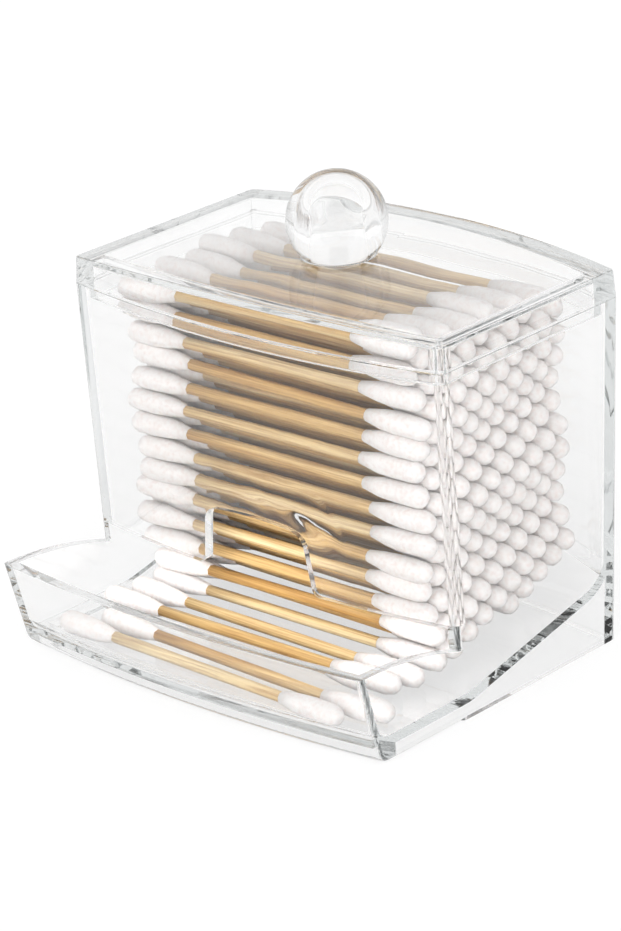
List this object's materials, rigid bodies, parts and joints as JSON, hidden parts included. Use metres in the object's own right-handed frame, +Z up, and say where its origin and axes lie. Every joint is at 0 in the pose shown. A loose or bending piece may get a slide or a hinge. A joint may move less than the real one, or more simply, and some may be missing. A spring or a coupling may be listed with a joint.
{
  "type": "cotton swab holder",
  "caption": "Clear plastic bin of cotton swabs with a sloping floor that feeds an open tray under an arched finger notch, and a lift-off lid with a ball knob",
  "frame": {"origin": "on the table under the middle of the overall box", "axes": "+Z up, -Y towards the tray at the front, +X to the right seen from the front"},
  "size_m": [0.094, 0.0838, 0.0925],
  "materials": {
    "clear_plastic": "water-clear, polished",
    "bamboo": "bare, smooth",
    "cotton": "soft, matte"
  },
  "bodies": {
    "holder": {"body": "clear_plastic", "buds_column_1": "cotton", "buds_column_10": "cotton", "buds_column_2": "cotton", "buds_column_3": "cotton", "buds_column_4": "cotton", "buds_column_5": "cotton", "buds_column_6": "cotton", "buds_column_7": "cotton", "buds_column_8": "cotton", "buds_column_9": "cotton", "loose_buds_1": "cotton", "loose_buds_2": "cotton", "loose_buds_3": "cotton", "loose_buds_4": "cotton", "loose_stick_1": "bamboo", "loose_stick_2": "bamboo", "loose_stick_3": "bamboo", "loose_stick_4": "bamboo", "sticks_column_1": "bamboo", "sticks_column_10": "bamboo", "sticks_column_2": "bamboo", "sticks_column_3": "bamboo", "sticks_column_4": "bamboo", "sticks_column_5": "bamboo", "sticks_column_6": "bamboo", "sticks_column_7": "bamboo", "sticks_column_8": "bamboo", "sticks_column_9": "bamboo"},
    "lid": {"lid": "clear_plastic", "knob": "clear_plastic"}
  },
  "joints": [
    {"name": "lid_lift", "type": "slide", "parent": "holder", "child": "lid", "axis": [0, 0, 1], "range_m": [0, 0.05]}
  ]
}
